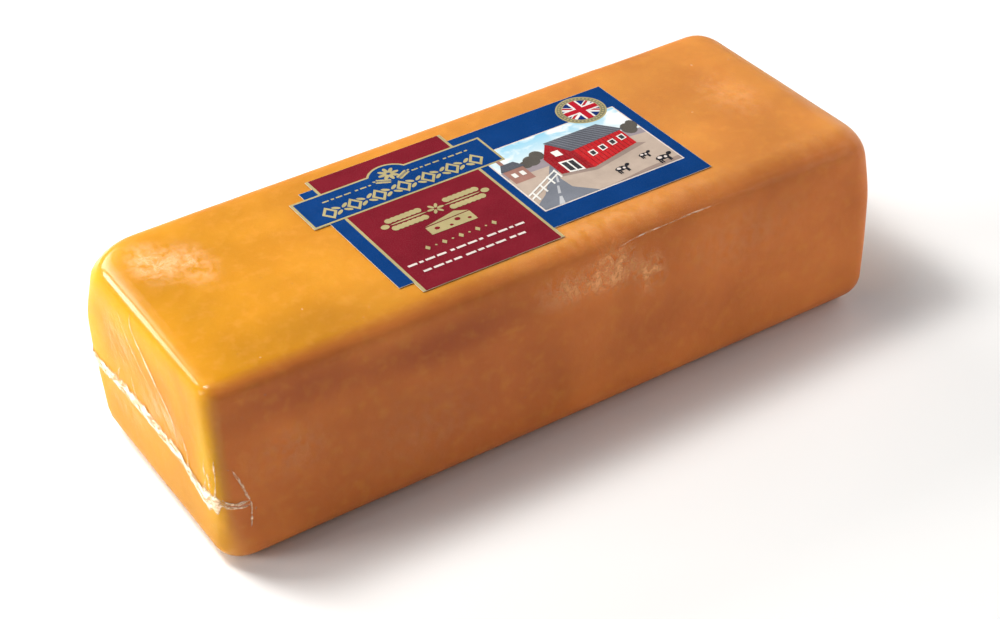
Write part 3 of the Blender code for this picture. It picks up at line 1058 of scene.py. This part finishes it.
# Each field of the picture: its name, its ink, its layer and its shapes
PICTURE_SHAPES = (
    ("picture_hills", (0.26, 0.22, 0.24), 4, (
        ((0.6, 20), (60.2, 20), (60.2, 27), (52, 29.5), (36, 27.5), (22, 31), (10, 28), (0.6, 30)),
    )),
    ("picture_field", (0.42, 0.33, 0.27), 5, (
        ((0.6, 0.6), (60.2, 0.6), (60.2, 23), (44, 25.2), (28, 24), (0.6, 25)),
    )),
    ("picture_field_shade", (0.27, 0.2, 0.17), 6, (
        ((18, 15.5), (31, 12.0), (56, 17.2), (53, 19), (31, 14), (18.5, 17)),
        ((30, 0.6), (60.2, 0.6), (60.2, 3.0), (46, 2.6)),
    )),
    ("picture_lane", (0.16, 0.17, 0.2), 6, (
        ((0.6, 0.6), (24, 0.6), (17, 8), (16.5, 15), (20.5, 24.2), (18, 24.4), (12, 16), (6, 9), (0.6, 5)),
    )),
    ("picture_lane_light", (0.42, 0.42, 0.44), 7, (
        ((6.5, 0.6), (9, 0.6), (10.5, 5), (9.5, 5.2)),
        ((10.2, 7), (11.3, 6.8), (13.4, 11.2), (12.7, 11.6)),
        ((14.0, 13.4), (14.8, 13.1), (17, 18.2), (16.4, 18.5)),
    )),
    ("picture_house", (0.3, 0.15, 0.12), 6, (
        ((1.5, 21), (10, 21), (10, 30.5), (1.5, 30.5)),
        ((3.3, 33.5), (4.9, 33.5), (4.9, 38), (3.3, 38)),
    )),
    ("picture_barn_side", (0.44, 0.012, 0.016), 8, (BARN_SIDE,)),
    ("picture_barn_front", (0.27, 0.008, 0.014), 8, (BARN_FRONT, BARN_GABLE)),
    ("picture_boards", (0.15, 0.006, 0.01), 9, slats(BARN_SIDE, 12, 0.25) + slats(BARN_FRONT, 7, 0.25)),
    ("picture_roofs", (0.085, 0.09, 0.11), 10, (
        BARN_ROOF,
        ((0.8, 30), (11, 30), (8.6, 34.5), (3.2, 34.5)),
    )),
    ("picture_roof_bars", (0.2, 0.21, 0.24), 11, slats(BARN_ROOF, 14, 0.3)),
    ("picture_trim", (0.7, 0.68, 0.64), 11, WINDOW_TRIM + (
        ((21.6, 16.2), (27.6, 14.8), (27.6, 23.4), (21.6, 24.2)),
        ((23.2, 28.0), (26.2, 27.6), (26.2, 31.6), (23.2, 31.8)),
        ((0.6, 11.0), (17.5, 20.2), (17.5, 20.9), (0.6, 11.9)),
        ((0.6, 8.6), (17.5, 17.8), (17.5, 18.5), (0.6, 9.5)),
        ((3.2, 24.5), (5.0, 24.5), (5.0, 27.4), (3.2, 27.4)),
        ((6.6, 24.5), (8.4, 24.5), (8.4, 27.4), (6.6, 27.4)),
    ) + FENCE_TRIM),
    ("picture_openings", (0.03, 0.03, 0.035), 12, WINDOW_PANES + (
        ((22.3, 17.0), (24.3, 16.5), (24.3, 22.9), (22.3, 23.2)),
        ((25.0, 16.3), (26.9, 15.9), (26.9, 22.6), (25.0, 22.8)),
    )),
)

for name, colour, layer, shapes in PICTURE_SHAPES:
    shape_bm = bmesh.new()
    for corners in shapes:
        add_shape(shape_bm, *(picture_point(x, y) for x, y in corners))
    print_piece(name, shape_bm, ink_material(name, colour, 0.1), layer)

tree_bm = bmesh.new()
for x, y, width, height in TREES:
    add_round(tree_bm, *picture_point(x, y), width / 1000, height / 1000, 14)
print_piece("picture_trees", tree_bm, ink_material("tree_ink", (0.085, 0.075, 0.065), 0.1), 5)

black_ink = ink_material("black_ink", (0.015, 0.015, 0.02), 0.05)
cow_bm = bmesh.new()
patch_bm = bmesh.new()

# A cow's body, head and legs, and its patches: place, width, height and turn
COW_BODY = (
    (0, 0, 5.2, 2.9, 0),
    (3.2, 1.1, 2.2, 1.7, 30),
    (-2.0, -1.9, 0.7, 2.8, 0),
    (-1.2, -1.9, 0.6, 2.8, 0),
    (1.5, -1.9, 0.7, 2.8, 0),
    (2.1, -1.8, 0.6, 2.6, 0),
)
COW_PATCHES = ((-0.9, 0.3, 1.7, 1.5), (1.1, -0.2, 1.2, 1.3))
for x, y, size in COWS:
    for dx, dy, width, height, turn in COW_BODY:
        spot = picture_point(x + dx * size, y + dy * size)
        add_round(cow_bm, *spot, width * size / 1000, height * size / 1000, 12, turn)
    for dx, dy, width, height in COW_PATCHES:
        spot = picture_point(x + dx * size, y + dy * size)
        add_round(patch_bm, *spot, width * size / 1000, height * size / 1000, 10)
print_piece("picture_cows", cow_bm, black_ink, 9)
print_piece("picture_cow_patches", patch_bm, white_ink, 10)


# The badge: a round flag in a beaded gold ring, printed over the back edge of the picture.
BADGE_MIDDLE = (0.056, 0.0214)
BADGE_RADIUS = 0.0098
BADGE_EDGE = 0.0006
FLAG_RADIUS = 0.0072
FLAG_EDGE = 0.0004
BADGE_SIDES = 72
BEAD_COUNT = 36
BEAD_SIZE = 0.0009
RING_OLIVE = (0.17, 0.16, 0.1)
FLAG_BLUE = (0.006, 0.022, 0.12)
FLAG_RED = (0.38, 0.008, 0.02)
FLAG_WHITE = (0.66, 0.64, 0.62)


def flag_bars(width, turns, shift):
    """Straight bars across the flag, at these turns, each moved aside by the shift and cut round."""
    bm = bmesh.new()
    for turn in turns:
        spot = Matrix.Translation((*BADGE_MIDDLE, next_rise(bm)))
        place = spot @ Matrix.Rotation(math.radians(turn), 4, "Z")
        place = place @ Matrix.Translation((0, shift, 0))
        reach = 2 * math.sqrt(FLAG_RADIUS**2 - (abs(shift) + width / 2) ** 2)
        size = Matrix.Diagonal((reach, width, 1, 1))
        bmesh.ops.create_grid(bm, x_segments=1, y_segments=1, size=0.5, matrix=place @ size)
    return bm


flag_white = ink_material("flag_white", FLAG_WHITE, 0.03)
flag_red = ink_material("flag_red", FLAG_RED, 0.04)
flag_blue = ink_material("flag_blue", FLAG_BLUE, 0.04)
olive_ink = ink_material("olive_ink", RING_OLIVE, 0.1)

BADGE_ROUNDS = (
    ("badge_ring", BADGE_RADIUS, gold_ink, 4),
    ("badge_rim", BADGE_RADIUS - BADGE_EDGE, olive_ink, 5),
    ("badge_inner_rim", FLAG_RADIUS + FLAG_EDGE, gold_ink, 6),
    ("flag_field", FLAG_RADIUS, flag_blue, 7),
)
for name, radius, ink, layer in BADGE_ROUNDS:
    print_piece(name, round_sheet(BADGE_MIDDLE, radius, BADGE_SIDES), ink, layer)

# Each set of bars: its name, their width, turns and shift, its ink and layer
FLAG_BARS = (
    ("flag_saltire", 0.0026, (35, -35), 0.0, flag_white, 8),
    ("flag_thin_bars", 0.001, (35, -35), 0.0004, flag_red, 9),
    ("flag_cross_edge", 0.0042, (0, 90), 0.0, flag_white, 10),
    ("flag_cross", 0.0026, (0, 90), 0.0, flag_red, 11),
)
for name, width, turns, shift, ink, layer in FLAG_BARS:
    print_piece(name, flag_bars(width, turns, shift), ink, layer)

bead_bm = bmesh.new()
bead_path = (BADGE_RADIUS - BADGE_EDGE + FLAG_RADIUS + FLAG_EDGE) / 2
for bead in range(BEAD_COUNT):
    turn = math.radians(360 * bead / BEAD_COUNT)
    x = BADGE_MIDDLE[0] + bead_path * math.cos(turn)
    y = BADGE_MIDDLE[1] + bead_path * math.sin(turn)
    add_round(bead_bm, x, y, BEAD_SIZE, BEAD_SIZE, 8)
print_piece("badge_beads", bead_bm, gold_ink, 7)


# The floor and the light: a white sweep under soft square lamps. Those off the two ends and
# behind make the left end and the top bright and leave the front in shade, with a weak fill.
FLOOR_WHITE = (0.9, 0.9, 0.9)
FLOOR_SIZE = 4.0
SKY_TINT = (0.3, 0.75, 1.0)
SKY_STRENGTH = 0.045

floor_bm = bmesh.new()
bmesh.ops.create_grid(floor_bm, x_segments=1, y_segments=1, size=FLOOR_SIZE)
floor_mesh = bpy.data.meshes.new("floor")
floor_bm.to_mesh(floor_mesh)
floor_bm.free()
floor_material, _, floor_shader = new_material("white_floor")
fill(floor_shader, {
    "Base Color": (*FLOOR_WHITE, 1.0),
    "Roughness": 0.9,
    "Specular IOR Level": 0.1,
})
floor_mesh.materials.append(floor_material)
floor = new_object("floor", floor_mesh)


LAMP_TARGET = Vector((0.0, 0.0, 0.04))

# Each lamp: azimuth and elevation in degrees, distance, size, power and colour. Azimuth 0 is in
# front of the long side, and -90 is off the left end.
LAMPS = (
    ("right_lamp", 105, 10, 1.1, 0.9, 5.2, (1.0, 1.0, 1.0)),
    ("left_lamp", -105, 10, 1.1, 0.4, 6.2, (1.0, 0.98, 0.94)),
    ("back_lamp", -172, 28, 1.1, 0.5, 5.0, (1.0, 0.99, 0.97)),
    ("edge_lamp", -143, 27, 1.0, 0.26, 2.8, (1.0, 1.0, 1.0)),
    ("key_lamp", -125, 62, 0.9, 0.25, 5.6, (1.0, 0.98, 0.94)),
    ("high_lamp", -120, 70, 1.1, 0.4, 3.4, (1.0, 0.98, 0.95)),
    ("left_high_lamp", -90, 28, 1.1, 0.4, 2.2, (1.0, 0.98, 0.94)),
    ("front_lamp", 45, 10, 1.1, 0.4, 1.8, (1.0, 0.94, 0.92)),
    ("front_high_lamp", 60, 28, 1.1, 0.4, 2.1, (1.0, 0.94, 0.92)),
)


def towards(azimuth, elevation):
    """The direction from the block to this azimuth and elevation, both in radians."""
    level = math.cos(elevation)
    return Vector((math.sin(azimuth) * level, -math.cos(azimuth) * level, math.sin(elevation)))


for name, azimuth, elevation, distance, size, power, colour in LAMPS:
    data = bpy.data.lights.new(name, "AREA")
    data.shape = "RECTANGLE"
    data.size = size
    data.size_y = size
    data.energy = power
    data.color = colour
    away = towards(math.radians(azimuth), math.radians(elevation))
    lamp = new_object(name, data)
    lamp.location = LAMP_TARGET + away * distance
    lamp.rotation_mode = "QUATERNION"
    lamp.rotation_quaternion = (-away).to_track_quat("-Z", "Y")

world = bpy.data.worlds.new("studio")
world.use_nodes = True
background = world.node_tree.nodes["Background"]
fill(background, {"Color": (*SKY_TINT, 1.0), "Strength": SKY_STRENGTH})
bpy.context.scene.world = world
bpy.context.scene.view_settings.view_transform = "Standard"


# The camera, as the photograph was taken: from the front left and above, turned a little.
AZIMUTH = math.radians(-31.089)
ELEVATION = math.radians(35.753)
ROLL = math.radians(-2.632)
DISTANCE = 0.8147
SHIFT_RIGHT = 0.0021
SHIFT_UP = 0.0182
LENS = 76.9
SENSOR_WIDTH = 36.0

backward = towards(AZIMUTH, ELEVATION)
level_right = Vector((0, 0, 1)).cross(backward).normalized()
level_up = backward.cross(level_right)
right = level_right * math.cos(ROLL) + level_up * math.sin(ROLL)
up = level_up * math.cos(ROLL) - level_right * math.sin(ROLL)
turn = Matrix((right, up, backward)).transposed().to_4x4()
camera_data = bpy.data.cameras.new("camera")
camera_data.lens = LENS
camera_data.sensor_width = SENSOR_WIDTH
camera = new_object("camera", camera_data)
place = backward * DISTANCE + right * SHIFT_RIGHT + up * SHIFT_UP
camera.matrix_world = Matrix.Translation(place) @ turn
bpy.context.scene.camera = camera
